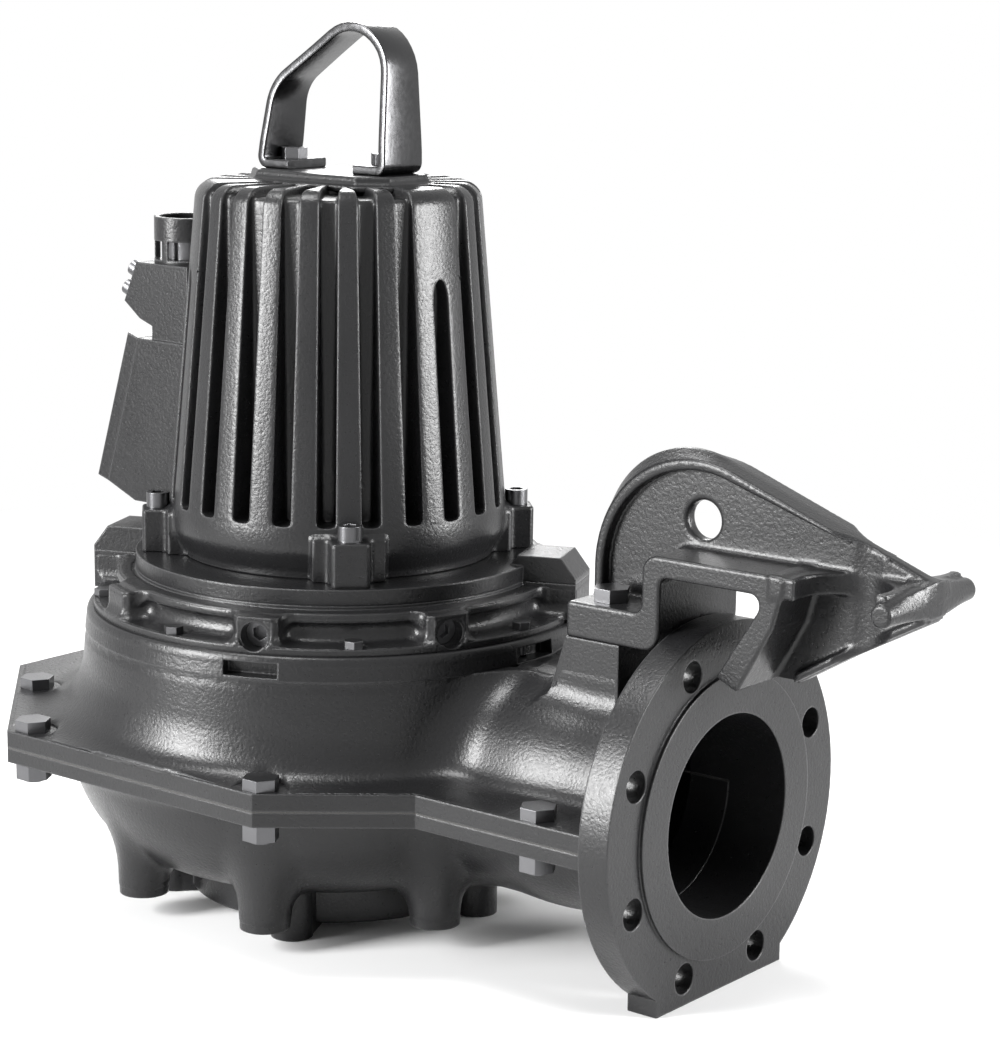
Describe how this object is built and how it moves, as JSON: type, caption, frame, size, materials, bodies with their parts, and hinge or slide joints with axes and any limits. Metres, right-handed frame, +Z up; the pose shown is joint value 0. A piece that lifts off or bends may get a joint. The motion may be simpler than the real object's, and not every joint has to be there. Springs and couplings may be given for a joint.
{
  "type": "submersible sewage pump",
  "caption": "Submersible sewage pump with ribbed motor housing, split volute casing, flanged side discharge, lifting bail and hooked guide claw.",
  "frame": {"origin": "on the shaft axis, at the mouth of the suction inlet, in the plane that the discharge flange's foot and the suction plate's lugs stand on", "axes": "+Z up along the shaft, +X towards the discharge, +Y to the side on which the spiral swells"},
  "size_m": [0.829, 0.5, 0.6842],
  "materials": {
    "black_casting": "gloss black paint over cast iron",
    "bolt_steel": "dulled stainless steel",
    "bail_steel": "bright rolled steel",
    "bearing_steel": "ground",
    "rubber": "matt",
    "gasket_fibre": "matt",
    "terminal_plastic": "matt",
    "core_steel": "stacked sheet",
    "winding_copper": "varnished wire",
    "end_ring_aluminium": "cast",
    "shaft_steel": "turned",
    "impeller_iron": "cast, unpainted",
    "seal_face": "lapped"
  },
  "bodies": {
    "pump": {"motor_housing": "black_casting", "motor_screws": "bolt_steel", "lifting_bail": "bail_steel", "bail_bolts": "bolt_steel", "junction_box": "black_casting", "junction_cover": "black_casting", "junction_screws": "bolt_steel", "gland_body": "black_casting", "gland_nut": "bolt_steel", "gland_seal": "rubber", "gland_screws": "bolt_steel", "terminal_board": "terminal_plastic", "stator_core": "core_steel", "stator_windings": "winding_copper", "upper_bearing_outer": "bearing_steel", "upper_bearing_balls": "bearing_steel", "bearing_housing": "black_casting", "lower_bearing_outer": "bearing_steel", "lower_bearing_balls": "bearing_steel", "bearing_retainer": "bolt_steel", "motor_o_ring": "rubber", "oil_housing": "black_casting", "oil_cover": "black_casting", "oil_screws": "bolt_steel", "housing_screws": "bolt_steel", "lid_screws": "bolt_steel", "upper_seal_seat": "seal_face", "lower_seal_seat": "seal_face", "upper_casing": "black_casting", "lower_casing": "black_casting", "casing_gasket": "gasket_fibre", "casing_bolts": "bolt_steel", "casing_nuts": "bolt_steel", "suction_plate": "black_casting", "suction_screws": "bolt_steel", "guide_claw": "black_casting", "claw_bolts": "bolt_steel"},
    "rotor": {"shaft": "shaft_steel", "rotor_core": "core_steel", "rotor_end_rings": "end_ring_aluminium", "impeller": "impeller_iron", "impeller_washer": "bolt_steel", "impeller_screw": "bolt_steel", "impeller_key": "bolt_steel", "upper_bearing_inner": "bearing_steel", "lower_bearing_inner": "bearing_steel", "upper_seal_ring": "seal_face", "lower_seal_ring": "seal_face", "seal_spring": "bolt_steel"}
  },
  "joints": [
    {"name": "rotor_spin", "type": "hinge", "parent": "pump", "child": "rotor", "pos_m": [0, 0, 0.131], "axis": [0, 0, 1], "continuous": true}
  ]
}
